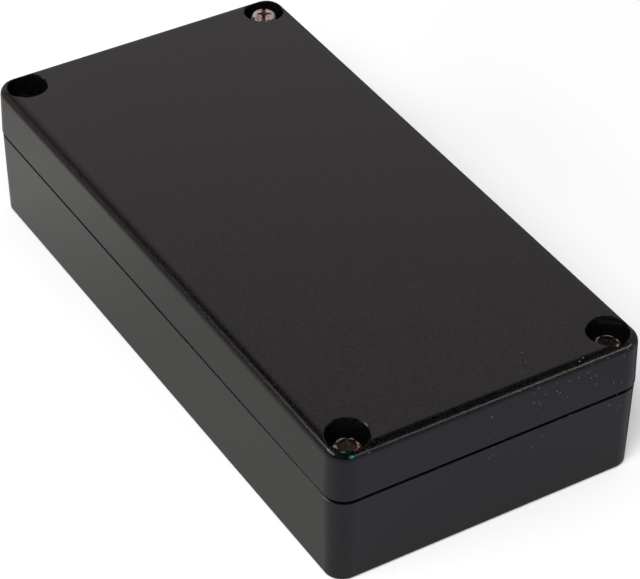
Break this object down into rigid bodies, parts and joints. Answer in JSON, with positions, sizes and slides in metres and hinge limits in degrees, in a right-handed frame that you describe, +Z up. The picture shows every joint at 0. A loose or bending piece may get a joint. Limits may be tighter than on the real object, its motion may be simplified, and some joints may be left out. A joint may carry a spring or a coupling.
{
  "type": "plastic project box",
  "caption": "Long shallow moulded plastic enclosure: a drafted base tray and a capping lid held by screws sunk in deep corner recesses.",
  "frame": {"origin": "centre of the underside", "axes": "+X along the length, +Y across the width, +Z up through the lid"},
  "size_m": [0.152, 0.075, 0.0343],
  "materials": {
    "case_plastic": "fine matte moulded texture",
    "screw_steel": "bright nickel plate",
    "insert_brass": "turned and knurled"
  },
  "bodies": {
    "base": {"base": "case_plastic", "insert_front_left": "insert_brass", "insert_front_right": "insert_brass", "insert_back_left": "insert_brass", "insert_back_right": "insert_brass"},
    "lid": {"lid": "case_plastic"},
    "screw_front_left": {"screw_front_left": "screw_steel"},
    "screw_front_right": {"screw_front_right": "screw_steel"},
    "screw_back_left": {"screw_back_left": "screw_steel"},
    "screw_back_right": {"screw_back_right": "screw_steel"}
  },
  "joints": [
    {"name": "lid_lift", "type": "slide", "parent": "base", "child": "lid", "axis": [0, 0, 1], "range_m": [0, 0.04]},
    {"name": "screw_front_left_out", "type": "slide", "parent": "lid", "child": "screw_front_left", "axis": [0, 0, 1], "range_m": [0, 0.026]},
    {"name": "screw_front_right_out", "type": "slide", "parent": "lid", "child": "screw_front_right", "axis": [0, 0, 1], "range_m": [0, 0.026]},
    {"name": "screw_back_left_out", "type": "slide", "parent": "lid", "child": "screw_back_left", "axis": [0, 0, 1], "range_m": [-0.00225, 0.02375]},
    {"name": "screw_back_right_out", "type": "slide", "parent": "lid", "child": "screw_back_right", "axis": [0, 0, 1], "range_m": [0, 0.026]}
  ]
}
